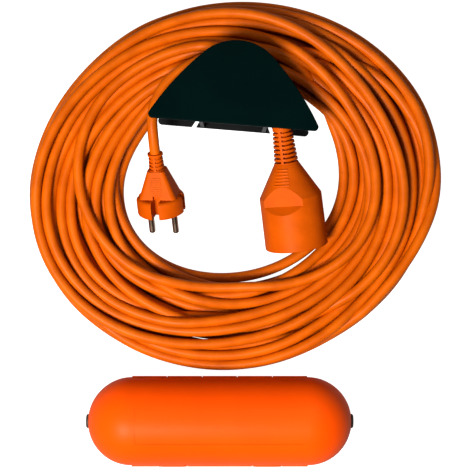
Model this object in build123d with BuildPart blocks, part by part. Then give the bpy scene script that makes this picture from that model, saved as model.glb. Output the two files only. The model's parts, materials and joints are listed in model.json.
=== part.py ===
"""Extension cord set laid flat: a coiled two-core cable with its plug and socket, the wall hanger
that carries the coil, and a hinged capsule-shaped box that shuts over a plugged connection.

Millimetres. +Z is up from the surface that the set lies on, +X runs along the box and +Y from the
box to the hanger. The origin is the middle of the whole footprint.
"""

import os
from math import atan2, cos, pi, radians, sin, tan

from build123d import *

# ---------------------------------------------------------------- driving dimensions
CORD_DIAMETER = 8.0
CORD_RADIUS = CORD_DIAMETER / 2
CORE_DIAMETER = 2.5
CORE_SPACING = 2.8
CORE_BEND = 3.0

# The coil's outer shape: an oval ring, lying on the floor, whose eye is an oval turned a little.
COIL_CENTRE = (0.0, 36.7)
COIL_OUTER = (159.8, 141.4)
COIL_EYE_CENTRE = (-1.0, 42.0)
COIL_EYE = (92.0, 75.0)
COIL_EYE_TURN = 22.0
COIL_HEIGHT = 28.0
COIL_EDGE = 9.0

# Contour plug for two flat-mounted round pins, in its own frame: the pins point to +Z from z = 0.
PLUG_FRONT = (-57.2, 17.4, 16.5)
PLUG_HEADING, PLUG_PITCH, PLUG_ROLL = 5.4, 26.0, 14.2
PIN_RADIUS = 2.4
PIN_LENGTH = 19.0
PIN_SPACING = 19.0
PIN_ROOT = 10.0
PIN_ROOT_RADIUS = 2.2
PIN_SHOULDER = 0.5
PIN_TAIL = 16.0
PIN_TAIL_RADIUS = 2.0
PLUG_CORE_DEPTH = 13.0
PLUG_RADIUS = 18.6
PLUG_DISC = 13.6
PLUG_GRIP = 21.6
PLUG_RELIEF = 13.3
PLUG_GRIP_BASE = (31.0, 22.0)
PLUG_GRIP_NECK = (13.6, 13.0)
PLUG_RELIEF_RADII = (6.1, 5.3)
PLUG_COLLAR_RADIUS = 5.9
PLUG_LENGTH = PLUG_DISC + PLUG_GRIP + PLUG_RELIEF
PLUG_SHEATH_END = 30.0
PLUG_SLOT_START, PLUG_SLOT_PITCH, PLUG_SLOT_COUNT = -46.3, 3.0, 4
PLUG_RIB_PITCH, PLUG_RIB_COUNT, PLUG_RIB_WIDTH = 1.7, 9, 9.0
SLOT_HEIGHT = 1.5
GROOVE_WIDTH, GROOVE_DEPTH = 5.6, 3.2
NOTCH_WIDTH, NOTCH_START = 5.8, 7.6
BRIDGE_SIZE = (28.0, 9.0)
BRIDGE_DEPTH = 9.0

# Portable socket, in its own frame: the mouth is at z = 0 and faces +Z.
SOCKET_MOUTH = (47.2, -9.9, 23.5)
SOCKET_HEADING, SOCKET_PITCH, SOCKET_ROLL = 7.6, 12.0, 22.0
SOCKET_RADIUS = 24.1
SOCKET_SHOULDER_RADIUS = 23.8
SOCKET_SHOULDER = 40.0
SOCKET_NECK = 65.6
SOCKET_NECK_RADIUS = 9.2
SOCKET_END_RADIUS = 7.2
SOCKET_LENGTH = 95.5
SOCKET_SHEATH_END = 66.0
RECESS_RADIUS = 19.9
RECESS_DEPTH = 17.5
FACE_THICKNESS = 3.0
CAVITY_RADIUS = 17.6
CARRIER_FRONT = 23.5
CARRIER_BACK = 44.0
SOCKET_CORE_DEPTH = 41.0
CONTACT_RADIUS = 3.2
CONTACT_BORE = 2.35
SHUTTER_SIZE = (27.0, 6.4, 2.2)
SHUTTER_FRONT = 20.9
SHUTTER_RAMP_TOP = 1.4
SHUTTER_LIP = 0.3
SPRING_RADIUS = 1.0
SPRING_WIRE = 0.4
SPRING_TURNS = 5
SPRING_END_GAP = 0.6
FLAT_HEIGHT = 18.2
SOCKET_RIB_START, SOCKET_RIB_PITCH, SOCKET_RIB_COUNT = -61.8, 2.2, 6
SOCKET_SLOT_START, SOCKET_SLOT_PITCH, SOCKET_SLOT_COUNT = -90.4, 3.25, 8

# Wall hanger, in its own frame: X along the lower edge, Y towards the crown, Z off the wall.
HANGER_ORIGIN = (-1.9, 81.2, 0.0)
HANGER_TILT = -4.7
PLATE_THICKNESS = 3.0
PLATE_HALF_WIDTH = 66.1
PLATE_FLANK = (48.0, 27.8)
PLATE_SHOULDER = (26.0, 52.5)
PLATE_HEIGHT = 63.1
PLATE_CORNER = 3.0
BACK_PLATE_SCALE = 0.93
BACK_PLATE_DROP = -0.5
SADDLE_RADIUS = 25.5
SADDLE_WALL = 3.0
SADDLE_SPRING_LINE = 11.5
HANGER_GAP = 52.0
WALL_SCREW_SPACING = 36.0
WALL_SCREW_HEIGHT = 9.0
WALL_SCREW_RADIUS = 2.25
WALL_SCREW_HEAD = 4.2
PEG_PLACES = [(-11.0, 22.0), (11.0, 22.0)]
PEG_RADIUS = 2.5
PEG_LENGTH = 12.0
BOSS_RADIUS = 5.0

# Connection box, in its own frame: X along it, z = 0 on the parting plane, hinge on the +Y side.
BOX_CENTRE = (-12.05, -143.7)
BOX_RADIUS = 33.4
BOX_HALF_WIDTH = 34.4
BOX_STRAIGHT = 134.2
BOX_WALL = 2.6
BOX_FOOT = 1.0
SKID_PLACES = (-9.0, 9.0)
SKID_WIDTH, SKID_LENGTH = 3.0, 100.0
RIM_RADIUS = 27.6
RIM_HEIGHT = 3.0
GASKET_INNER, GASKET_OUTER = 28.1, 29.1
GASKET_DEPTH = 1.2
HINGE_AXIS = 32.1
KNUCKLE_RADIUS = 2.3
KNUCKLE_COUNT = 5
KNUCKLE_PITCH = 26.8
KNUCKLE_GAP = 0.6
HINGE_CLEARANCE = 0.3
HINGE_RELIEF = 10.5
HINGE_PIN_RADIUS = 1.0
RUNNING_CLEARANCE = 0.05
LATCH_PLACES = {"left": -36.0, "right": 36.0}
LATCH_WIDTH = 22.0
LATCH_PIVOT = (-32.2, -13.0)
LATCH_INNER, LATCH_OUTER = -32.4, -34.1
LATCH_TOP = 5.2
LATCH_BOSS = 1.9
LUG_THICKNESS = 3.0
LUG_RADIUS = 2.2
LUG_ROOT = -28.5
LUG_HEIGHTS = (LATCH_PIVOT[1] - LUG_RADIUS, LATCH_PIVOT[1] + LUG_RADIUS)
RECESS_FLOOR = -32.1
CABLE_ENTRY_RADIUS = 5.5
SEAL_HOLE_RADIUS = 1.5
SEAL_TIP = 101.8
PANEL_HALF_WIDTH, PANEL_HALF_LENGTH, PANEL_DEPTH = 13.4, 63.0, 0.3
DIMPLE_PITCH = 45.0

os.makedirs("parts", exist_ok=True)


# ---------------------------------------------------------------- frames of the sub-assemblies
def connector_seat(origin, heading, pitch, roll):
    """The plane of a plug or socket: Z forward, nose down by pitch, rolled about its own length."""
    heading, pitch, roll = radians(heading), radians(pitch), radians(roll)
    forward = Vector(sin(heading) * cos(pitch), -cos(heading) * cos(pitch), -sin(pitch))
    level = Vector(cos(heading), sin(heading), 0)
    upper = forward.cross(level)
    return Plane(origin=origin, x_dir=level * cos(roll) + upper * sin(roll), z_dir=forward)


PLUG_SEAT = connector_seat(PLUG_FRONT, PLUG_HEADING, PLUG_PITCH, PLUG_ROLL)
SOCKET_SEAT = connector_seat(SOCKET_MOUTH, SOCKET_HEADING, SOCKET_PITCH, SOCKET_ROLL)
HANGER_SEAT = Plane(HANGER_ORIGIN).rotated((0, 0, HANGER_TILT))
BOX_SEAT = Plane((*BOX_CENTRE, BOX_RADIUS + BOX_FOOT))
FLOOR = Plane.XY


# ---------------------------------------------------------------- cord
def corner_radii(points):
    """The largest arcs that the runs allow: 0.45 of the shorter run over tan(half the turn)."""
    runs = [Vector(*b) - Vector(*a) for a, b in zip(points, points[1:])]
    radii = []
    for before, after in zip(runs, runs[1:]):
        half_turn = radians(before.get_angle(after)) / 2
        radii.append(0.45 * min(before.length, after.length) / tan(half_turn))
    return radii


def tube(points, diameter):
    """A round tube along straight runs joined by tangent arcs."""
    start = Plane(origin=points[0], z_dir=Vector(*points[1]) - Vector(*points[0]))
    with BuildPart() as swept:
        with BuildLine() as route:
            FilletPolyline(*points, radius=corner_radii(points))
        with BuildSketch(start):
            Circle(diameter / 2)
        sweep()
    length = route.wire().length
    expected = length * pi * diameter**2 / 4
    print("tube radii", [round(r, 1) for r in corner_radii(points)])
    print("tube length", round(length, 1), "volume ratio", round(swept.part.volume / expected, 4))
    return swept


# From the plug's relief up to the hanger's corner, along its left flank and over the saddle.
PLUG_TAIL_ROUTE = [
    (-61.3, 60.8, 37.76),
    (-62.5, 73.3, 43.9),
    (-63.4, 87.5, 45.9),
    (-60.0, 101.8, 45.6),
    (-52.6, 114.0, 43.8),
    (-41.0, 124.0, 41.6),
    (-25.5, 132.8, 39.2),
    (-6.5, 139.5, 36.5),
    (14.0, 141.5, 33.0),
    (33.5, 137.0, 28.5),
    (50.0, 127.0, 23.5),
]
# From the socket's relief past the saddle's right foot and round over its top.
SOCKET_TAIL_ROUTE = [
    (34.85, 82.7, 43.36),
    (33.3, 94.3, 45.85),
    (30.6, 106.8, 46.8),
    (24.0, 118.0, 45.6),
    (13.8, 126.2, 42.2),
    (0.6, 130.6, 37.6),
    (-15.0, 129.8, 32.0),
    (-30.8, 125.5, 27.5),
    (-45.5, 117.0, 23.5),
]

cord_plug_tail = tube(PLUG_TAIL_ROUTE, CORD_DIAMETER)
cord_socket_tail = tube(SOCKET_TAIL_ROUTE, CORD_DIAMETER)


def plate_outline(scale=1.0, drop=0.0, margin=0.0):
    """A hanger plate's face: a straight lower edge, slightly bowed flanks and a round crown."""
    half = PLATE_HALF_WIDTH * scale + margin
    flank = (PLATE_FLANK[0] * scale + margin, PLATE_FLANK[1] * scale + drop + margin)
    shoulder = (PLATE_SHOULDER[0] * scale + margin, PLATE_SHOULDER[1] * scale + drop + margin)
    crown = (0, PLATE_HEIGHT * scale + drop + margin)
    left_flank, left_shoulder = (-flank[0], flank[1]), (-shoulder[0], shoulder[1])
    with BuildSketch() as outline:
        with BuildLine():
            Line((-half, drop - margin), (half, drop - margin))
            ThreePointArc((half, drop - margin), flank, shoulder)
            ThreePointArc(shoulder, crown, left_shoulder)
            ThreePointArc(left_shoulder, left_flank, (-half, drop - margin))
        make_face()
        fillet(outline.vertices().group_by(Axis.Y)[0], PLATE_CORNER)
    return outline.sketch


with BuildPart() as hanger_pocket:
    with BuildSketch(FLOOR):
        add(plate_outline(BACK_PLATE_SCALE, BACK_PLATE_DROP, margin=0.6))
    extrude(amount=PLATE_THICKNESS + 0.5)
hanger_pocket.part.locate(HANGER_SEAT.location)

with BuildPart() as cord_coil:
    with BuildSketch(FLOOR):
        with Locations(COIL_CENTRE):
            Ellipse(*COIL_OUTER)
        with Locations(COIL_EYE_CENTRE):
            Ellipse(*COIL_EYE, rotation=COIL_EYE_TURN, mode=Mode.SUBTRACT)
    extrude(amount=COIL_HEIGHT)
    fillet(cord_coil.edges().group_by(Axis.Z)[0] + cord_coil.edges().group_by(Axis.Z)[-1], COIL_EDGE)
    # The turns pass over the hanger's back plate and lie clear of the socket's mouth.
    add(hanger_pocket.part, mode=Mode.SUBTRACT)
    with BuildSketch(SOCKET_SEAT.offset(0.6)):
        Circle(SOCKET_RADIUS + 0.6)
    extrude(amount=-SOCKET_SHOULDER, mode=Mode.SUBTRACT)


def sheath_end(start, end):
    """The last stretch of sheathed cable, held inside a connector."""
    with BuildPart() as sheath:
        with BuildSketch(Plane.XY.offset(-start)):
            Circle(CORD_RADIUS)
        extrude(amount=start - end)
    return sheath


def core_route(side, sheath, pins, depth):
    """A core from the sheath's end out to its pin or contact, in the connector's frame."""
    near, far = side * CORE_SPACING / 2, side * PIN_SPACING / 2
    return [(near, 0, -sheath), (near, 0, -sheath + 3), (far, 0, -pins - 3), (far, 0, -depth)]


def core(points, clearance=0.0):
    """One insulated core, or its channel when a clearance is given."""
    with BuildPart() as wire:
        with BuildLine():
            FilletPolyline(*points, radius=CORE_BEND)
        with BuildSketch(Plane.XY.offset(points[0][2])):
            with Locations((points[0][0], 0)):
                Circle(CORE_DIAMETER / 2 + clearance)
        sweep()
    return wire


cord_plug_end = sheath_end(PLUG_LENGTH, PLUG_SHEATH_END)
cord_socket_end = sheath_end(SOCKET_LENGTH, SOCKET_SHEATH_END)
SIDES = {"left": -1, "right": 1}
CORE_COLOURS = {"left": "brown", "right": "blue"}


# ---------------------------------------------------------------- plug
def plug_pin(side):
    """A solid round pin with a rounded tip, a seated root and a bored tail for its core."""
    place = (side * PIN_SPACING / 2, 0)
    with BuildPart() as pin:
        with BuildSketch(Plane.XY.offset(PIN_SHOULDER)):
            with Locations(place):
                Circle(PIN_RADIUS)
        extrude(amount=PIN_LENGTH - PIN_SHOULDER)
        fillet(pin.edges().group_by(Axis.Z)[-1], 1.4)
        with BuildSketch(Plane.XY.offset(-PIN_ROOT)):
            with Locations(place):
                Circle(PIN_ROOT_RADIUS)
        extrude(amount=PIN_ROOT + PIN_SHOULDER)
        with BuildSketch(Plane.XY.offset(-PIN_TAIL)):
            with Locations(place):
                Circle(PIN_TAIL_RADIUS)
        extrude(amount=PIN_TAIL - PIN_ROOT)
        with BuildSketch(Plane.XY.offset(-PIN_TAIL)):
            with Locations(place):
                Circle(CORE_DIAMETER / 2)
        extrude(amount=PIN_TAIL - PLUG_CORE_DEPTH, mode=Mode.SUBTRACT)
    return pin


plug_pins = {side: plug_pin(sign) for side, sign in SIDES.items()}
plug_core_routes = {
    side: core_route(sign, PLUG_SHEATH_END, PIN_TAIL, PLUG_CORE_DEPTH) for side, sign in SIDES.items()
}
plug_cores = {side: core(route) for side, route in plug_core_routes.items()}

with BuildPart() as plug_bridge:
    with BuildSketch(Plane.XY.offset(-BRIDGE_DEPTH)):
        SlotOverall(*BRIDGE_SIZE)
        with GridLocations(PIN_SPACING, 0, 2, 1):
            Circle(PIN_ROOT_RADIUS, mode=Mode.SUBTRACT)
    extrude(amount=BRIDGE_DEPTH)


def relief_slots(first, pitch, rows, core_radius, rib):
    """Rows of slots round a strain relief, each row parted by a front and a back rib."""
    reach = 2 * core_radius
    with BuildPart() as slots:
        for row in range(rows):
            with BuildSketch(Plane.XY.offset(first + row * pitch)):
                Circle(reach)
                Circle(core_radius, mode=Mode.SUBTRACT)
                Rectangle(rib, 3 * reach, mode=Mode.SUBTRACT)
            extrude(amount=SLOT_HEIGHT)
    return slots


def grip_face(base, neck, start, length):
    """The sloping plane on the front of a tapered grip, its X across and its Y to the cord."""
    slope = atan2((base - neck) / 2, length)
    middle = (0, (base + neck) / 4, -(start + length / 2))
    return Plane(origin=middle, x_dir=(1, 0, 0), z_dir=(0, cos(slope), -sin(slope)))


PLUG_RELIEF_START = PLUG_DISC + PLUG_GRIP
plug_slots = relief_slots(PLUG_SLOT_START, PLUG_SLOT_PITCH, PLUG_SLOT_COUNT, 4.6, 1.8)

with BuildPart() as plug_body:
    with BuildSketch(Plane.XY.offset(-PLUG_DISC)):
        Circle(PLUG_RADIUS)
    extrude(amount=PLUG_DISC)
    fillet(plug_body.edges().group_by(Axis.Z)[0], 3.0)
    fillet(plug_body.edges().group_by(Axis.Z)[-1], 1.0)
    with BuildSketch(Plane.XY.offset(-PLUG_DISC + 2)):
        RectangleRounded(*PLUG_GRIP_BASE, 4)
    with BuildSketch(Plane.XY.offset(-PLUG_RELIEF_START)):
        RectangleRounded(*PLUG_GRIP_NECK, 3)
    loft()
    # Fine ribs across the front and back of the grip.
    ribs_front = grip_face(PLUG_GRIP_BASE[1], PLUG_GRIP_NECK[1], PLUG_DISC - 2, PLUG_GRIP + 2)
    with BuildSketch(ribs_front):
        with GridLocations(0, PLUG_RIB_PITCH, 1, PLUG_RIB_COUNT):
            Rectangle(PLUG_RIB_WIDTH, PLUG_RIB_PITCH / 2)
    extrude(amount=0.35, both=True)
    with BuildSketch(Plane.XZ):
        with BuildLine():
            Polyline(
                (0, -PLUG_RELIEF_START + 1),
                (PLUG_RELIEF_RADII[0], -PLUG_RELIEF_START + 1),
                (PLUG_RELIEF_RADII[1], -PLUG_LENGTH + 1.8),
                (PLUG_COLLAR_RADIUS, -PLUG_LENGTH + 1.6),
                (PLUG_COLLAR_RADIUS, -PLUG_LENGTH),
                (0, -PLUG_LENGTH),
                close=True,
            )
        make_face()
    revolve(axis=Axis.Z)
    add(plug_slots.part, mode=Mode.SUBTRACT)
    # Side grooves for earthed wall sockets, and front and back notches for their earth pin.
    with BuildSketch(Plane.XY.offset(-PLUG_DISC - 3)):
        with GridLocations(2 * PLUG_RADIUS - GROOVE_DEPTH, 0, 2, 1):
            Rectangle(GROOVE_DEPTH, GROOVE_WIDTH)
        with GridLocations(0, 2 * NOTCH_START + 14, 1, 2):
            Rectangle(NOTCH_WIDTH, 14)
    extrude(amount=PLUG_DISC + 3, mode=Mode.SUBTRACT)
    # What the moulding is cast around.
    add(cord_plug_end.part, mode=Mode.SUBTRACT)
    add(plug_bridge.part, mode=Mode.SUBTRACT)
    for side in SIDES:
        add(plug_pins[side].part, mode=Mode.SUBTRACT)
        add(core(plug_core_routes[side], 0.05).part, mode=Mode.SUBTRACT)


# ---------------------------------------------------------------- socket
def neck_radius(z):
    """The cone's radius at a height between its neck and its shoulder."""
    rise = (SOCKET_SHOULDER_RADIUS - SOCKET_NECK_RADIUS) / (SOCKET_NECK - SOCKET_SHOULDER)
    return SOCKET_NECK_RADIUS + rise * (z + SOCKET_NECK)


with BuildPart() as socket_ribs:
    for row in range(SOCKET_RIB_COUNT):
        height = SOCKET_RIB_START + row * SOCKET_RIB_PITCH
        with BuildSketch(Plane.XZ):
            with Locations((neck_radius(height), height)):
                Rectangle(1.2, 1.0)
        revolve(axis=Axis.Z)
    with BuildSketch(Plane.XZ):
        with BuildLine():
            Polyline((-3.8, -64), (3.8, -64), (6.4, -49), (-6.4, -49), close=True)
        make_face()
    extrude(amount=40, both=True, mode=Mode.INTERSECT)

with BuildPart() as socket_face:
    with BuildSketch(Plane.XY.offset(-RECESS_DEPTH - FACE_THICKNESS)):
        Circle(RECESS_RADIUS)
        with GridLocations(PIN_SPACING, 0, 2, 1):
            Circle(PIN_RADIUS + 0.3, mode=Mode.SUBTRACT)
    extrude(amount=FACE_THICKNESS)

with BuildPart() as socket_carrier:
    with BuildSketch(Plane.XY.offset(-CARRIER_BACK)):
        Circle(CAVITY_RADIUS - 0.1)
        with GridLocations(PIN_SPACING, 0, 2, 1):
            Circle(CONTACT_RADIUS, mode=Mode.SUBTRACT)
    extrude(amount=CARRIER_BACK - CARRIER_FRONT)


def socket_contact(side):
    """A sprung tube that grips a pin, with a crimp barrel for the core behind it."""
    place = (side * PIN_SPACING / 2, 0)
    with BuildPart() as contact:
        with BuildSketch(Plane.XY.offset(-CARRIER_BACK)):
            with Locations(place):
                Circle(CONTACT_RADIUS)
        extrude(amount=CARRIER_BACK - CARRIER_FRONT - 0.5)
        with BuildSketch(Plane.XY.offset(-CARRIER_BACK + 4)):
            with Locations(place):
                Circle(CONTACT_BORE)
        extrude(amount=CARRIER_BACK - CARRIER_FRONT, mode=Mode.SUBTRACT)
        with BuildSketch(Plane.XY.offset(-CARRIER_BACK)):
            with Locations(place):
                Circle(CORE_DIAMETER / 2)
        extrude(amount=CARRIER_BACK - SOCKET_CORE_DEPTH, mode=Mode.SUBTRACT)
    return contact


socket_contacts = {side: socket_contact(sign) for side, sign in SIDES.items()}
socket_core_routes = {
    side: core_route(sign, SOCKET_SHEATH_END, CARRIER_BACK, SOCKET_CORE_DEPTH)
    for side, sign in SIDES.items()
}
socket_cores = {side: core(route) for side, route in socket_core_routes.items()}

with BuildPart() as socket_shutter:
    # A bar across both holes, ramped on its front so that a pair of pins pushes it aside.
    shutter_back = -SHUTTER_FRONT - SHUTTER_SIZE[2]
    shutter_edge = SHUTTER_SIZE[1] / 2
    with BuildSketch(Plane.YZ):
        with BuildLine():
            Polyline(
                (-shutter_edge, shutter_back),
                (shutter_edge, shutter_back),
                (shutter_edge, -SHUTTER_FRONT),
                (SHUTTER_RAMP_TOP, -SHUTTER_FRONT),
                (-shutter_edge, shutter_back + SHUTTER_LIP),
                close=True,
            )
        make_face()
    extrude(amount=SHUTTER_SIZE[0] / 2, both=True)

with BuildPart() as socket_shutter_spring:
    spring_start = SHUTTER_SIZE[1] / 2
    spring_length = CAVITY_RADIUS - spring_start - SPRING_END_GAP
    with BuildLine() as spring_path:
        Helix(
            pitch=(spring_length - SPRING_WIRE) / SPRING_TURNS,
            height=spring_length - SPRING_WIRE,
            radius=SPRING_RADIUS - SPRING_WIRE / 2,
            center=(0, spring_start + SPRING_WIRE / 2, -SHUTTER_FRONT - SHUTTER_SIZE[2] / 2),
            direction=(0, 1, 0),
        )
    with BuildSketch(Plane(origin=spring_path.wire() @ 0, z_dir=spring_path.wire() % 0)):
        Circle(SPRING_WIRE / 2)
    sweep(is_frenet=True)

socket_rows = relief_slots(SOCKET_SLOT_START, SOCKET_SLOT_PITCH, SOCKET_SLOT_COUNT, 5.6, 2.0)

with BuildPart() as socket_body:
    with BuildSketch(Plane.XZ):
        with BuildLine():
            Polyline(
                (0, 0),
                (SOCKET_RADIUS, 0),
                (SOCKET_SHOULDER_RADIUS, -SOCKET_SHOULDER),
                (SOCKET_NECK_RADIUS, -SOCKET_NECK),
                (SOCKET_END_RADIUS, -SOCKET_LENGTH),
                (0, -SOCKET_LENGTH),
                close=True,
            )
        make_face()
    revolve(axis=Axis.Z)
    fillet(socket_body.edges().group_by(Axis.Z)[-1], 0.9)
    # A flat is cut across the front and the back of the shoulder, ramping out to the barrel.
    with BuildSketch(Plane.YZ):
        with BuildLine():
            Polyline((FLAT_HEIGHT, -62), (FLAT_HEIGHT, -35), (25, -28), (32, -28), (32, -62), close=True)
        make_face()
        mirror(about=Plane.YZ)
    extrude(amount=30, both=True, mode=Mode.SUBTRACT)
    add(socket_ribs.part)
    add(socket_rows.part, mode=Mode.SUBTRACT)
    # The recess that takes a plug's round end, with two guide ribs that fit its side grooves.
    with BuildSketch(Plane.XY.offset(-RECESS_DEPTH - FACE_THICKNESS)):
        Circle(RECESS_RADIUS)
    extrude(amount=RECESS_DEPTH + FACE_THICKNESS, mode=Mode.SUBTRACT)
    with BuildSketch(Plane.XY.offset(-RECESS_DEPTH)):
        with GridLocations(2 * RECESS_RADIUS - GROOVE_DEPTH + 0.8, 0, 2, 1):
            Rectangle(GROOVE_DEPTH, GROOVE_WIDTH - 0.6)
    extrude(amount=RECESS_DEPTH - 1.5)
    with BuildSketch(Plane.XY.offset(-CARRIER_BACK)):
        Circle(CAVITY_RADIUS)
    extrude(amount=CARRIER_BACK - RECESS_DEPTH - FACE_THICKNESS, mode=Mode.SUBTRACT)
    add(cord_socket_end.part, mode=Mode.SUBTRACT)
    for side in SIDES:
        add(core(socket_core_routes[side], 0.05).part, mode=Mode.SUBTRACT)

# ---------------------------------------------------------------- wall hanger
with BuildPart() as hanger_bracket:
    with BuildSketch(Plane.XY):
        add(plate_outline(BACK_PLATE_SCALE, BACK_PLATE_DROP))
        # Slanting windows beside the saddle's feet.
        with BuildLine():
            Polyline((29.6, -1.5), (33.4, -1.5), (29.4, 5.5), (26.4, 5.5), close=True)
        make_face(mode=Mode.SUBTRACT)
        with BuildLine():
            Polyline((-29.6, -1.5), (-33.4, -1.5), (-29.4, 5.5), (-26.4, 5.5), close=True)
        make_face(mode=Mode.SUBTRACT)
    extrude(amount=PLATE_THICKNESS)
    # The saddle that the coil hangs on is an arch, open below.
    with BuildSketch(Plane.XY.offset(PLATE_THICKNESS)):
        with Locations((0, SADDLE_SPRING_LINE)):
            Circle(SADDLE_RADIUS)
        with Locations((0, SADDLE_SPRING_LINE / 2)):
            Rectangle(2 * SADDLE_RADIUS, SADDLE_SPRING_LINE)
        with Locations((0, SADDLE_SPRING_LINE)):
            Circle(SADDLE_RADIUS - SADDLE_WALL, mode=Mode.SUBTRACT)
        with Locations((0, SADDLE_SPRING_LINE - SADDLE_RADIUS)):
            Rectangle(2 * (SADDLE_RADIUS - SADDLE_WALL), 2 * SADDLE_RADIUS, mode=Mode.SUBTRACT)
    extrude(amount=HANGER_GAP)
    with BuildSketch(Plane.XY.offset(PLATE_THICKNESS)):
        with Locations(*PEG_PLACES):
            Circle(BOSS_RADIUS)
    extrude(amount=HANGER_GAP)
    with BuildSketch(Plane.XY.offset(PLATE_THICKNESS + HANGER_GAP - PEG_LENGTH - 1)):
        with Locations(*PEG_PLACES):
            Circle(PEG_RADIUS)
    extrude(amount=PEG_LENGTH + 1, mode=Mode.SUBTRACT)
    with Locations(Plane.XY.offset(PLATE_THICKNESS)):
        with Locations((0, WALL_SCREW_HEIGHT)):
            with GridLocations(WALL_SCREW_SPACING, 0, 2, 1):
                CounterSinkHole(WALL_SCREW_RADIUS, WALL_SCREW_HEAD, depth=PLATE_THICKNESS)

with BuildPart() as hanger_front_plate:
    with BuildSketch(Plane.XY.offset(PLATE_THICKNESS + HANGER_GAP)):
        add(plate_outline())
    extrude(amount=PLATE_THICKNESS)
    fillet(hanger_front_plate.edges().group_by(Axis.Z)[-1], 1.0)
    with BuildSketch(Plane.XY.offset(PLATE_THICKNESS + HANGER_GAP - PEG_LENGTH)):
        with Locations(*PEG_PLACES):
            Circle(PEG_RADIUS)
    extrude(amount=PEG_LENGTH)


# ---------------------------------------------------------------- connection box
def capsule(radius, mode=Mode.ADD):
    """A capsule of the given radius along X, revolved inside the open part."""
    with BuildSketch(Plane.XY) as profile:
        SlotCenterToCenter(BOX_STRAIGHT, 2 * radius)
        with Locations((0, -radius)):
            Rectangle(2 * BOX_STRAIGHT, 2 * radius, mode=Mode.SUBTRACT)
    revolve(profile.sketch, axis=Axis.X, mode=mode)


def ring_slab(inner, outer, bottom, top, mode=Mode.ADD):
    """A flat stadium-shaped ring round the box, between two heights."""
    with BuildSketch(Plane.XY.offset(bottom)) as ring:
        SlotCenterToCenter(BOX_STRAIGHT, 2 * outer)
        SlotCenterToCenter(BOX_STRAIGHT, 2 * inner, mode=Mode.SUBTRACT)
    extrude(ring.sketch, amount=top - bottom, mode=mode)


def rod(centre, radius, length, middle=0.0, mode=Mode.ADD):
    """A round bar along X through the point (y, z), centred on x = middle."""
    with BuildSketch(Plane.YZ.offset(middle)) as section:
        with Locations(centre):
            Circle(radius)
    extrude(section.sketch, amount=length / 2, both=True, mode=mode)


def bar(y_range, z_range, length, middle=0.0, mode=Mode.ADD):
    """A rectangular bar along X between two widths and two heights."""
    with BuildSketch(Plane.YZ.offset(middle)) as section:
        with Locations(((y_range[0] + y_range[1]) / 2, (z_range[0] + z_range[1]) / 2)):
            Rectangle(y_range[1] - y_range[0], z_range[1] - z_range[0])
    extrude(section.sketch, amount=length / 2, both=True, mode=mode)


HINGE = (HINGE_AXIS, 0)
STATIONS = [(i - (KNUCKLE_COUNT - 1) / 2) * KNUCKLE_PITCH for i in range(KNUCKLE_COUNT)]
STRIP_WIDTH = (-BOX_HALF_WIDTH, -BOX_RADIUS + 1)
LATCH_OPENING = LATCH_WIDTH + 2 * HINGE_CLEARANCE
PIVOT_SPAN = LATCH_OPENING + 2 * LUG_THICKNESS


def box_half(side, own_stations, other_stations):
    """What both shells share: the wall, the sealing rim, the strip along the front and the hinge."""
    keep = Keep.TOP if side > 0 else Keep.BOTTOM
    with BuildPart() as half:
        capsule(BOX_RADIUS)
        capsule(BOX_RADIUS - BOX_WALL, Mode.SUBTRACT)
        ring_slab(RIM_RADIUS, BOX_RADIUS - 0.2, -RIM_HEIGHT, RIM_HEIGHT)
        bar(STRIP_WIDTH, (-2.5, 2.5), BOX_STRAIGHT)
        split(bisect_by=Plane.XY, keep=keep)
        for middle in own_stations:
            rod(HINGE, KNUCKLE_RADIUS, KNUCKLE_PITCH - KNUCKLE_GAP, middle)
        # The other half's knuckles need room, and so does the swing of the wall past the hinge's ends.
        for middle in other_stations:
            rod(HINGE, KNUCKLE_RADIUS + HINGE_CLEARANCE, KNUCKLE_PITCH, middle, Mode.SUBTRACT)
        for sign in (-1, 1):
            relief_middle = sign * (KNUCKLE_COUNT * KNUCKLE_PITCH + HINGE_RELIEF) / 2
            rod(HINGE, KNUCKLE_RADIUS + HINGE_CLEARANCE, HINGE_RELIEF, relief_middle, Mode.SUBTRACT)
        rod((0, 0), CABLE_ENTRY_RADIUS, 4 * BOX_STRAIGHT, mode=Mode.SUBTRACT)
        for middle in LATCH_PLACES.values():
            bar((-BOX_RADIUS - 5, RECESS_FLOOR), (-12, 6), LATCH_OPENING, middle, Mode.SUBTRACT)
    return half.part


with BuildPart() as box_lower_shell:
    add(box_half(-1, STATIONS[::2], STATIONS[1::2]))
    ring_slab(GASKET_INNER, GASKET_OUTER, -GASKET_DEPTH, 0, Mode.SUBTRACT)
    rod(HINGE, HINGE_PIN_RADIUS, KNUCKLE_COUNT * KNUCKLE_PITCH, mode=Mode.SUBTRACT)
    # Two skids under the straight part keep the box from rolling.
    for y in SKID_PLACES:
        skid = (y - SKID_WIDTH / 2, y + SKID_WIDTH / 2)
        bar(skid, (-BOX_RADIUS - BOX_FOOT, -BOX_RADIUS + BOX_WALL), SKID_LENGTH)
    for place in LATCH_PLACES.values():
        for sign in (-1, 1):
            middle = place + sign * (LATCH_OPENING + LUG_THICKNESS) / 2
            rod(LATCH_PIVOT, LUG_RADIUS, LUG_THICKNESS, middle)
            bar((LATCH_PIVOT[0], LUG_ROOT), LUG_HEIGHTS, LUG_THICKNESS, middle)
        rod(LATCH_PIVOT, LUG_RADIUS, LATCH_OPENING, place, Mode.SUBTRACT)
        rod(LATCH_PIVOT, HINGE_PIN_RADIUS, PIVOT_SPAN, place, Mode.SUBTRACT)

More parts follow.
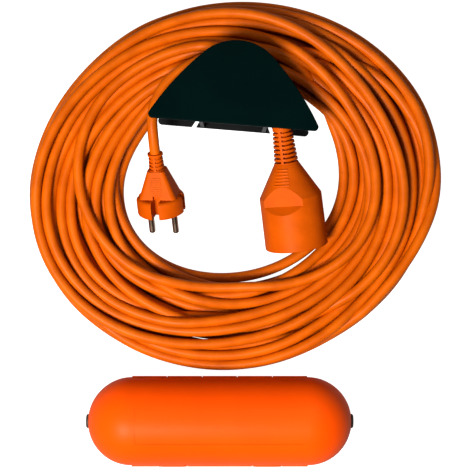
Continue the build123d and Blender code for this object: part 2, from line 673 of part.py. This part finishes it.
with BuildPart() as box_upper_shell:
    add(box_half(1, STATIONS[1::2], STATIONS[::2]))
    rod(HINGE, HINGE_PIN_RADIUS + RUNNING_CLEARANCE, KNUCKLE_COUNT * KNUCKLE_PITCH, mode=Mode.SUBTRACT)
    # Low ridges that the latches close over.
    for place in LATCH_PLACES.values():
        bar((RECESS_FLOOR - 0.2, RECESS_FLOOR + 1), (1.4, 3.4), LATCH_WIDTH - 6, place)
    # A shallow panel along the crown, with three dimples on its middle line.
    with BuildSketch(Plane.YZ):
        Circle(BOX_RADIUS + 1)
        Circle(BOX_RADIUS - PANEL_DEPTH, mode=Mode.SUBTRACT)
        with Locations((0, BOX_RADIUS)):
            Rectangle(2 * PANEL_HALF_WIDTH, 20, mode=Mode.INTERSECT)
    extrude(amount=PANEL_HALF_LENGTH, both=True, mode=Mode.SUBTRACT)
    with BuildSketch(Plane.XY.offset(BOX_RADIUS - PANEL_DEPTH - 0.3)):
        with GridLocations(DIMPLE_PITCH, 0, 3, 1):
            Circle(1.2)
    extrude(amount=2, mode=Mode.SUBTRACT)

with BuildPart() as box_hinge_pin:
    rod(HINGE, HINGE_PIN_RADIUS, KNUCKLE_COUNT * KNUCKLE_PITCH - 1)


def box_gasket(keep):
    """One strip of the sealing cord, from one cable entry round to the other."""
    with BuildPart() as gasket:
        ring_slab(GASKET_INNER, GASKET_OUTER, -GASKET_DEPTH, 0)
        rod((0, 0), CABLE_ENTRY_RADIUS, 4 * BOX_STRAIGHT, mode=Mode.SUBTRACT)
        split(bisect_by=Plane.XZ, keep=keep)
    return gasket


def box_seal(end, keep):
    """Half of the soft ring that grips the cable at one end of the box."""
    flange = BOX_STRAIGHT / 2 + RIM_RADIUS - 1.2
    with BuildPart() as seal:
        with BuildSketch(Plane.XY):
            with BuildLine():
                Polyline(
                    (flange - 1.6, SEAL_HOLE_RADIUS),
                    (flange - 1.6, 7.0),
                    (flange, 7.0),
                    (flange, CABLE_ENTRY_RADIUS - 0.1),
                    (SEAL_TIP - 0.8, CABLE_ENTRY_RADIUS - 0.1),
                    (SEAL_TIP, CABLE_ENTRY_RADIUS - 1.0),
                    (SEAL_TIP, SEAL_HOLE_RADIUS),
                    close=True,
                )
            make_face()
            if end < 0:
                mirror(about=Plane.YZ, mode=Mode.REPLACE)
        revolve(axis=Axis.X)
        split(bisect_by=Plane.XY, keep=keep)
    return seal


def box_latch(place):
    """A flat latch, hinged at its foot, that lies in a recess across the parting line."""
    with BuildPart() as latch:
        rod(LATCH_PIVOT, LATCH_BOSS, LATCH_WIDTH, place)
        bar((LATCH_OUTER, LATCH_INNER), (LATCH_PIVOT[1], LATCH_TOP), LATCH_WIDTH, place)
        fillet(latch.edges().filter_by(Axis.Y).group_by(Axis.Z)[-1], 2.0)
        # A raised finger grip across the top.
        bar((-BOX_HALF_WIDTH, LATCH_OUTER), (LATCH_TOP - 3.0, LATCH_TOP - 1.2), LATCH_WIDTH - 6, place)
        pin_hole = HINGE_PIN_RADIUS + RUNNING_CLEARANCE
        rod(LATCH_PIVOT, pin_hole, LATCH_OPENING, place, Mode.SUBTRACT)
    return latch


def latch_pin(place):
    """A plain pin through both lugs and the latch's foot."""
    with BuildPart() as pin:
        rod(LATCH_PIVOT, HINGE_PIN_RADIUS, PIVOT_SPAN, place)
    return pin


# ---------------------------------------------------------------- finished pieces
pieces = {
    "cord_coil": (cord_coil, FLOOR),
    "cord_plug_tail": (cord_plug_tail, FLOOR),
    "cord_socket_tail": (cord_socket_tail, FLOOR),
    "cord_plug_end": (cord_plug_end, PLUG_SEAT),
    "cord_socket_end": (cord_socket_end, SOCKET_SEAT),
    "plug_body": (plug_body, PLUG_SEAT),
    "plug_bridge": (plug_bridge, PLUG_SEAT),
    "socket_body": (socket_body, SOCKET_SEAT),
    "socket_face": (socket_face, SOCKET_SEAT),
    "socket_carrier": (socket_carrier, SOCKET_SEAT),
    "socket_shutter": (socket_shutter, SOCKET_SEAT),
    "socket_shutter_spring": (socket_shutter_spring, SOCKET_SEAT),
    "hanger_bracket": (hanger_bracket, HANGER_SEAT),
    "hanger_front_plate": (hanger_front_plate, HANGER_SEAT),
    "box_lower_shell": (box_lower_shell, BOX_SEAT),
    "box_upper_shell": (box_upper_shell, BOX_SEAT),
    "box_hinge_pin": (box_hinge_pin, BOX_SEAT),
    "box_gasket_front": (box_gasket(Keep.TOP), BOX_SEAT),
    "box_gasket_back": (box_gasket(Keep.BOTTOM), BOX_SEAT),
}
for side, sign in SIDES.items():
    pieces[f"plug_pin_{side}"] = (plug_pins[side], PLUG_SEAT)
    pieces[f"plug_core_{CORE_COLOURS[side]}"] = (plug_cores[side], PLUG_SEAT)
    pieces[f"socket_contact_{side}"] = (socket_contacts[side], SOCKET_SEAT)
    pieces[f"socket_core_{CORE_COLOURS[side]}"] = (socket_cores[side], SOCKET_SEAT)
    pieces[f"box_seal_{side}_lower"] = (box_seal(sign, Keep.BOTTOM), BOX_SEAT)
    pieces[f"box_seal_{side}_upper"] = (box_seal(sign, Keep.TOP), BOX_SEAT)
    pieces[f"box_latch_{side}"] = (box_latch(LATCH_PLACES[side]), BOX_SEAT)
    pieces[f"box_latch_pin_{side}"] = (latch_pin(LATCH_PLACES[side]), BOX_SEAT)

for name, (piece, seat) in pieces.items():
    piece.part.locate(seat.location)
    piece.part.label = name
    export_step(piece.part, f"parts/{name}.step")
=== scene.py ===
"""The extension cord set laid flat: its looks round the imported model.

The tables of the cord's route are in millimetres. Whatever Blender is handed is in metres.
"""

import json
from math import cos, pi, radians, sin, sqrt

import bpy
import numpy as np
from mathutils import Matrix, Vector


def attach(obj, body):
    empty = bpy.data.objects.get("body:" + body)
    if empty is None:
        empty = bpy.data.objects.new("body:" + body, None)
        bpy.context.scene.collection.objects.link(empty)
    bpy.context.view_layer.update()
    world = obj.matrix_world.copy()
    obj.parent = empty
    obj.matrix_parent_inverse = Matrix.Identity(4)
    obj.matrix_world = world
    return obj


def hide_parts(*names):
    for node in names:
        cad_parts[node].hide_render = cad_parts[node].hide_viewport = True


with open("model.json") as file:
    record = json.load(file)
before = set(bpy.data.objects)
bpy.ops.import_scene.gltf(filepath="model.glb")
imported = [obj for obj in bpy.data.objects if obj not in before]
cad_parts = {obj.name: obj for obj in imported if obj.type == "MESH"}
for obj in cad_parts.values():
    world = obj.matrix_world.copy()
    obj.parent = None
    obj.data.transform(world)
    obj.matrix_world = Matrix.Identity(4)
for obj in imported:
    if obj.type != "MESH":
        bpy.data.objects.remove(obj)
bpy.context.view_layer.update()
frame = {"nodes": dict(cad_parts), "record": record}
MM = 0.001

# ---------------------------------------------------------------- camera
# It looks straight down. Its sensor and its lens are in millimetres.
SENSOR_WIDTH = 36.0
LENS = 106.85
CAMERA_PLACE = (-0.0004, -0.0016, 1.1)

camera_data = bpy.data.cameras.new("camera")
camera_data.sensor_width = SENSOR_WIDTH
camera_data.lens = LENS
camera = bpy.data.objects.new("camera", camera_data)
camera.location = CAMERA_PLACE
bpy.context.scene.collection.objects.link(camera)
bpy.context.scene.camera = camera

# ---------------------------------------------------------------- the cord's route
CORD_DIAMETER = 8.0

# From the socket's grip to the top of the coil.
SOCKET_TAIL = [
    (34.85, 82.7, 43.36),
    (33.3, 94.3, 45.85),
    (30.6, 106.8, 46.8),
    (24.0, 118.0, 45.6),
    (14.5, 127.5, 43.6),
    (2.5, 135.5, 40.2),
    (-11.0, 141.5, 35.5),
    (-26.0, 144.0, 30.0),
]
# From the plug's grip to the end of the coil's last turn.
PLUG_TAIL = [
    (-61.3, 60.8, 37.76),
    (-62.5, 73.3, 43.9),
    (-63.4, 87.5, 45.9),
    (-60.0, 101.8, 45.6),
    (-52.6, 114.0, 43.8),
    (-41.0, 124.0, 41.6),
    (-25.5, 132.8, 39.2),
    (-6.5, 139.5, 36.5),
    (14.0, 141.5, 33.5),
    (33.5, 137.0, 30.5),
    (50.0, 127.0, 28.0),
]

# The coil's band lies between two ovals, each given as its centre, half widths and turn.
COIL_MIDDLE = (0.4, 40.0)
OUTER_OVAL = ((0.0, 36.7), (160.3, 141.8), radians(8))
EYE_OVAL = ((0.8, 43.0), (88.3, 76.5), 0.0)

# A turn has this many control points, and its place across the band is set at six even bearings,
# counted from the coil's top round by the left: 0 is the eye's edge and 1 the outer edge.
STATIONS = 48
BEARINGS = 6
TURNS = 27

# The first of the upper turns lies on top of all the others.
UPPER_TURNS = [
    (0.45, 0.55, 0.35, 0.12, 0.30, 0.25),
    (0.60, 0.80, 0.95, 0.70, 0.50, 0.35),
    (0.40, 0.50, 0.75, 0.45, 0.30, 0.15),
    (0.20, 0.05, 0.25, 0.30, 0.25, 0.20),
    (0.45, 0.70, 0.85, 0.55, 0.40, 0.30),
    (0.20, 0.25, 0.50, 0.55, 0.65, 0.50),
    (0.85, 0.85, 0.90, 0.95, 0.75, 0.65),
    (0.75, 0.85, 0.90, 0.85, 0.60, 0.45),
    (0.50, 0.60, 0.85, 0.90, 0.85, 1.00),
    (1.00, 0.90, 0.95, 0.95, 0.85, 0.90),
    (0.90, 0.80, 0.95, 0.75, 0.85, 0.80),
    (0.25, 0.40, 0.65, 0.45, 0.55, 0.45),
    (0.30, 0.15, 0.40, 0.20, 0.06, 0.06),
]
# The hidden turns go from the inner place out to the outer one and back.
HIDDEN_INNER, HIDDEN_OUTER = 0.08, 0.90
# The last turn has one place more, where it ends.
LAST_TURN = (0.15, -0.03, 0.16, 0.02, -0.05, 0.02, 0.60)

# The coil leaves the socket's tail in its first turn and meets the plug's tail in its last one.
FIRST_STATION, LAST_STATION = 3, 42
# How many of its last control points climb from the eye's side onto the pile.
CLIMB = 9
# The hanger's back plate lies under the coil: an oval, and how high the cord's middle lies on it.
BACK_PLATE = ((-1.9, 80.7), (63.0, 61.0), 7.2)
# How far the middle of the outermost turn stays inside the outer oval.
OUTER_INSET = CORD_DIAMETER / 8

# The turns start this far over each other, then fall and push each other aside in small steps.
DROP_SPACING = 5.0
SETTLING_STEPS = 900
# How far a step lets every point fall, and how much of that is gone by the last step.
FALL = 0.35
FALL_FADE = 0.75
# In a step a point loses these parts of its bend and of its shift sideways, and two points that
# overlap are each pushed apart by this part of the overlap.
STIFFNESS = 0.25
HOLD = 0.35
PUSH = 0.3
# Keeps the distance between two points from being zero.
LEAST_GAP = 1e-6


def band_edge(oval, angle):
    """Distance from the coil's middle to an oval along a direction."""
    (cx, cy), (a, b), turn = oval
    dx, dy = cos(angle - turn), sin(angle - turn)
    px, py = COIL_MIDDLE[0] - cx, COIL_MIDDLE[1] - cy
    ox, oy = px * cos(turn) + py * sin(turn), py * cos(turn) - px * sin(turn)
    square = (dx / a) ** 2 + (dy / b) ** 2
    cross = 2 * (ox * dx / a**2 + oy * dy / b**2)
    rest = (ox / a) ** 2 + (oy / b) ** 2 - 1
    return (-cross + sqrt(cross**2 - 4 * square * rest)) / (2 * square)


def places_of_turns():
    """How far across the band the cord lies at each bearing of each turn, in the cord's order."""
    hidden = TURNS - len(UPPER_TURNS) - 1
    steps = np.arange(hidden * BEARINGS) / (hidden * BEARINGS)
    under = HIDDEN_OUTER - (HIDDEN_OUTER - HIDDEN_INNER) * np.abs(2 * steps - 1)
    return np.concatenate([np.array(UPPER_TURNS).ravel(), under, LAST_TURN])


def smooth_between(knots, at):
    """A Catmull-Rom curve through evenly spaced knots."""
    i = np.clip(np.floor(at).astype(int), 0, len(knots) - 1)
    t = at - i
    p = [knots[np.clip(i + k, 0, len(knots) - 1)] for k in (-1, 0, 1, 2)]
    return 0.5 * (
        2 * p[1]
        + (p[2] - p[0]) * t
        + (2 * p[0] - 5 * p[1] + 4 * p[2] - p[3]) * t**2
        + (3 * p[1] - 3 * p[2] + p[3] - p[0]) * t**3
    )


def bend(values, start, end):
    """Draw every value towards the middle of its neighbours, between two held ends."""
    line = np.concatenate([[start], values, [end]])
    return values + STIFFNESS * ((line[:-2] + line[2:]) / 2 - values)


def coil_points():
    """The cord's control points round the coil, its turns dropped in order and settled, in mm."""
    index = np.arange(FIRST_STATION, (TURNS - 1) * STATIONS + LAST_STATION + 1)
    station = index % STATIONS
    angle = pi / 2 + 2 * pi * station / STATIONS
    inner = np.array([band_edge(EYE_OVAL, a) for a in angle[:STATIONS]])
    outer = np.array([band_edge(OUTER_OVAL, a) for a in angle[:STATIONS]])
    inner, outer = (np.roll(edge, FIRST_STATION)[station] for edge in (inner, outer))
    place = smooth_between(places_of_turns(), index * BEARINGS / STATIONS)
    wanted = inner + (outer - inner) * place
    farthest = outer - OUTER_INSET
    shift = np.zeros(len(index))
    height = CORD_DIAMETER + DROP_SPACING * (TURNS - index / STATIONS)
    height[-CLIMB:] = np.linspace(height[-CLIMB], height[0] + CORD_DIAMETER, CLIMB)
    # Points are compared at the same station, and the one earlier in the cord starts on top.
    same_station = station[:, None] == station[None, :]
    first, second = np.nonzero(np.triu(same_station, 1))
    for step in range(SETTLING_STEPS):
        # The fall fades, so that the pile ends with its turns resting and not pressed together.
        fallen = height - FALL * (1 - FALL_FADE * step / SETTLING_STEPS)
        height = bend(fallen, SOCKET_TAIL[-1][2], PLUG_TAIL[-1][2])
        shift = bend(shift, 0, 0) * (1 - HOLD)
        reach = np.minimum(wanted + shift, farthest)
        across = reach[first] - reach[second]
        upwards = height[first] - height[second]
        gap = np.hypot(across, upwards) + LEAST_GAP
        push = PUSH * np.maximum(CORD_DIAMETER - gap, 0) / gap
        np.add.at(shift, first, push * across)
        np.add.at(shift, second, -push * across)
        np.add.at(height, first, push * upwards)
        np.add.at(height, second, -push * upwards)
        reach = np.minimum(wanted + shift, farthest)
        x = COIL_MIDDLE[0] + reach * np.cos(angle)
        y = COIL_MIDDLE[1] + reach * np.sin(angle)
        (cx, cy), (a, b), lifted = BACK_PLATE
        on_plate = ((x - cx) / a) ** 2 + ((y - cy) / b) ** 2 < 1
        height = np.maximum(height, np.where(on_plate, lifted, CORD_DIAMETER / 2))
    return np.stack([x, y, height], axis=1)


route_mm = SOCKET_TAIL + coil_points().tolist() + PLUG_TAIL[::-1]
route = [Vector(p) * MM for p in route_mm]

# The thickness is each point's own radius, because that is what a curve's bounds are made from.
curve = bpy.data.curves.new("cord", "CURVE")
curve.dimensions = "3D"
curve.resolution_u = 4
curve.bevel_depth = 1.0
curve.bevel_resolution = 5
curve.use_fill_caps = True
spline = curve.splines.new("NURBS")
spline.points.add(len(route) - 1)
for point, place in zip(spline.points, route):
    point.co = (*place, 1)
    point.radius = CORD_DIAMETER / 2 * MM
spline.order_u = 3
spline.use_endpoint_u = True
spline.use_smooth = True
cord = bpy.data.objects.new("cord", curve)
bpy.context.scene.collection.objects.link(cord)

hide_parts("cord_coil", "cord_plug_tail", "cord_socket_tail")
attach(cord, "set")

# ---------------------------------------------------------------- materials
PLASTIC, METAL = 0.0, 1.0
# Each finish: its darker and its lighter colour, its roughness, its grain's fineness per metre and
# depth in metres, its specular level, the fineness of its colour's patches, and its metalness.
FINISHES = {
    "cord_sheath": (
        (0.50, 0.100, 0.0004), (0.59, 0.128, 0.0008), 0.42, 900.0, 0.00006, 0.13, 60.0, PLASTIC
    ),
    "connector_rubber": (
        (0.50, 0.087, 0.0004), (0.57, 0.103, 0.0007), 0.5, 1400.0, 0.00008, 0.07, 60.0, PLASTIC
    ),
    "core_brown": (
        (0.10, 0.03, 0.01), (0.14, 0.045, 0.015), 0.4, 900.0, 0.00003, 0.5, 60.0, PLASTIC
    ),
    "core_blue": (
        (0.01, 0.04, 0.28), (0.015, 0.06, 0.34), 0.4, 900.0, 0.00003, 0.5, 60.0, PLASTIC
    ),
    # The nickel pins' colours are darkened and warmed to orange-brown: a painted reflection of the
    # orange plastic round them, not the nickel's own colour.
    "pin_nickel": (
        (0.36, 0.27, 0.19), (0.47, 0.37, 0.28), 0.30, 1500.0, 0.00002, 0.5, 120.0, METAL
    ),
    "bridge_plastic": (
        (0.010, 0.010, 0.010), (0.018, 0.017, 0.016), 0.4, 700.0, 0.00004, 0.5, 60.0, PLASTIC
    ),
    "face_plastic": (
        (0.544, 0.0782, 0.00068), (0.5984, 0.0952, 0.00136), 0.4, 800.0, 0.00004, 0.5, 60.0, PLASTIC
    ),
    "carrier_plastic": (
        (0.62, 0.58, 0.50), (0.70, 0.66, 0.58), 0.4, 800.0, 0.00004, 0.5, 60.0, PLASTIC
    ),
    "contact_brass": (
        (0.60, 0.40, 0.13), (0.72, 0.50, 0.19), 0.3, 1500.0, 0.00002, 0.5, 120.0, METAL
    ),
    "shutter_plastic": (
        (0.012, 0.012, 0.012), (0.02, 0.02, 0.02), 0.35, 700.0, 0.00003, 0.5, 60.0, PLASTIC
    ),
    "spring_steel": (
        (0.34, 0.34, 0.35), (0.45, 0.45, 0.46), 0.3, 1500.0, 0.00002, 0.5, 120.0, METAL
    ),
    "bracket_plastic": (
        (0.0020, 0.0022, 0.0022), (0.0036, 0.0040, 0.0040), 0.4, 500.0, 0.00008, 0.25, 60.0, PLASTIC
    ),
    "plate_plastic": (
        (0.0002, 0.0062, 0.0056), (0.0003, 0.0085, 0.0077), 0.35, 350.0, 0.00002, 0.015, 18.0, PLASTIC
    ),
    "shell_plastic": (
        (0.78, 0.086, 0.0006), (0.84, 0.098, 0.0009), 0.42, 650.0, 0.00003, 0.09, 14.0, PLASTIC
    ),
    "pin_steel": (
        (0.42, 0.42, 0.43), (0.54, 0.54, 0.55), 0.25, 1500.0, 0.00002, 0.5, 120.0, METAL
    ),
    "seal_rubber": (
        (0.030, 0.020, 0.014), (0.055, 0.038, 0.028), 0.6, 900.0, 0.00010, 0.5, 60.0, PLASTIC
    ),
}
# The noise values at which a patch is all dark and all light, and how far, as a part of itself,
# the roughness swings to either side.
PATCH_EDGES = (0.35, 0.65)
GLOSS_SWING = 0.15
PATCH_DETAIL = 3.0
GRAIN_DETAIL = 2.0
GRAIN_STRENGTH = 0.5


def shader(name):
    """A material with its nodes, its links and its Principled shader."""
    made = bpy.data.materials.new(name)
    made.use_nodes = True
    tree = made.node_tree
    return made, tree, tree.nodes["Principled BSDF"]


def add_node(tree, kind, **values):
    """A shader node, its inputs and properties set by name."""
    node = tree.nodes.new(kind)
    for key, value in values.items():
        if key in node.inputs.keys():
            node.inputs[key].default_value = value
        else:
            setattr(node, key, value)
    return node


def finish(name, dark, light, roughness, grain, depth, specular, patch, metalness):
    """Two near colours in soft patches, with an uneven gloss and a fine grain."""
    made, tree, principled = shader(name)
    principled.inputs["Specular IOR Level"].default_value = specular
    principled.inputs["Metallic"].default_value = metalness
    place = add_node(tree, "ShaderNodeTexCoord")
    patches = add_node(tree, "ShaderNodeTexNoise", Scale=patch, Detail=PATCH_DETAIL)
    ramp = add_node(tree, "ShaderNodeValToRGB")
    for element, edge, colour in zip(ramp.color_ramp.elements, PATCH_EDGES, (dark, light)):
        element.position = edge
        element.color = (*colour, 1)
    gloss = add_node(tree, "ShaderNodeMapRange")
    gloss.inputs["To Min"].default_value = roughness * (1 - GLOSS_SWING)
    gloss.inputs["To Max"].default_value = roughness * (1 + GLOSS_SWING)
    fine = add_node(tree, "ShaderNodeTexNoise", Scale=grain, Detail=GRAIN_DETAIL)
    bump = add_node(tree, "ShaderNodeBump", Strength=GRAIN_STRENGTH, Distance=depth)
    link = tree.links.new
    link(place.outputs["Object"], patches.inputs["Vector"])
    link(place.outputs["Object"], fine.inputs["Vector"])
    link(patches.outputs["Fac"], ramp.inputs["Fac"])
    link(ramp.outputs["Color"], principled.inputs["Base Color"])
    link(patches.outputs["Fac"], gloss.inputs["Value"])
    link(gloss.outputs["Result"], principled.inputs["Roughness"])
    link(fine.outputs["Fac"], bump.inputs["Height"])
    link(bump.outputs["Normal"], principled.inputs["Normal"])
    return made


materials = {name: finish(name, *values) for name, values in FINISHES.items()}
for part in frame["record"]["subparts"]:
    for holder in frame["nodes"][part["node"]].material_slots:
        holder.material = materials[part["material_slot"]]
curve.materials.append(materials["cord_sheath"])

# ---------------------------------------------------------------- floor and light
FLOOR_HALF = 2.5
# The floor lies just under the set, so that no face shares its plane.
FLOOR_DROP = 0.0006
PAPER_GREY = 0.3
PAPER_ROUGHNESS = 0.9
# The paper is white to the camera, and throws less than that back at the cord.
GLOW_ON_OBJECTS, GLOW_TO_CAMERA = 0.2, 1.0
WORLD_STRENGTH = 0.04
# Lowers the middle tones, which deepens the gaps between the turns.
VIEW_GAMMA = 0.85

corners = [(x * FLOOR_HALF, y * FLOOR_HALF, 0) for x, y in ((-1, -1), (1, -1), (1, 1), (-1, 1))]
floor_mesh = bpy.data.meshes.new("floor")
floor_mesh.from_pydata(corners, [], [(0, 1, 2, 3)])
floor = bpy.data.objects.new("floor", floor_mesh)
floor.location = (0, 0, -FLOOR_DROP)
bpy.context.scene.collection.objects.link(floor)

paper, paper_tree, paper_shader = shader("paper")
paper_shader.inputs["Base Color"].default_value = (PAPER_GREY, PAPER_GREY, PAPER_GREY, 1)
paper_shader.inputs["Roughness"].default_value = PAPER_ROUGHNESS
paper_shader.inputs["Specular IOR Level"].default_value = 0.0
paper_shader.inputs["Emission Color"].default_value = (1, 1, 1, 1)
ray = add_node(paper_tree, "ShaderNodeLightPath")
glow = add_node(paper_tree, "ShaderNodeMapRange")
glow.inputs["To Min"].default_value = GLOW_ON_OBJECTS
glow.inputs["To Max"].default_value = GLOW_TO_CAMERA
paper_tree.links.new(ray.outputs["Is Camera Ray"], glow.inputs["Value"])
paper_tree.links.new(glow.outputs["Result"], paper_shader.inputs["Emission Strength"])
floor_mesh.materials.append(paper)

world = bpy.data.worlds.new("world")
world.use_nodes = True
sky = world.node_tree.nodes["Background"]
sky.inputs["Color"].default_value = (1, 1, 1, 1)
sky.inputs["Strength"].default_value = WORLD_STRENGTH
bpy.context.scene.world = world


def softbox(name, place, side, watts):
    """A square area light that faces the middle of the set."""
    data = bpy.data.lights.new(name, "AREA")
    data.shape = "RECTANGLE"
    data.size = side
    data.size_y = side
    data.energy = watts
    lamp = bpy.data.objects.new(name, data)
    lamp.location = place
    lamp.rotation_euler = (-Vector(place)).to_track_quat("-Z", "Y").to_euler()
    bpy.context.scene.collection.objects.link(lamp)


# The key light comes from the lower left, and a broad weak one fills from the upper right.
softbox("key", (-0.55, -0.6, 1.5), 0.5, 49)
softbox("fill", (0.4, 0.7, 1.6), 1.2, 8)

bpy.context.scene.view_settings.view_transform = "Standard"
bpy.context.scene.view_settings.gamma = VIEW_GAMMA

# The cord's own bounds are only known after an update.
bpy.context.view_layer.update()
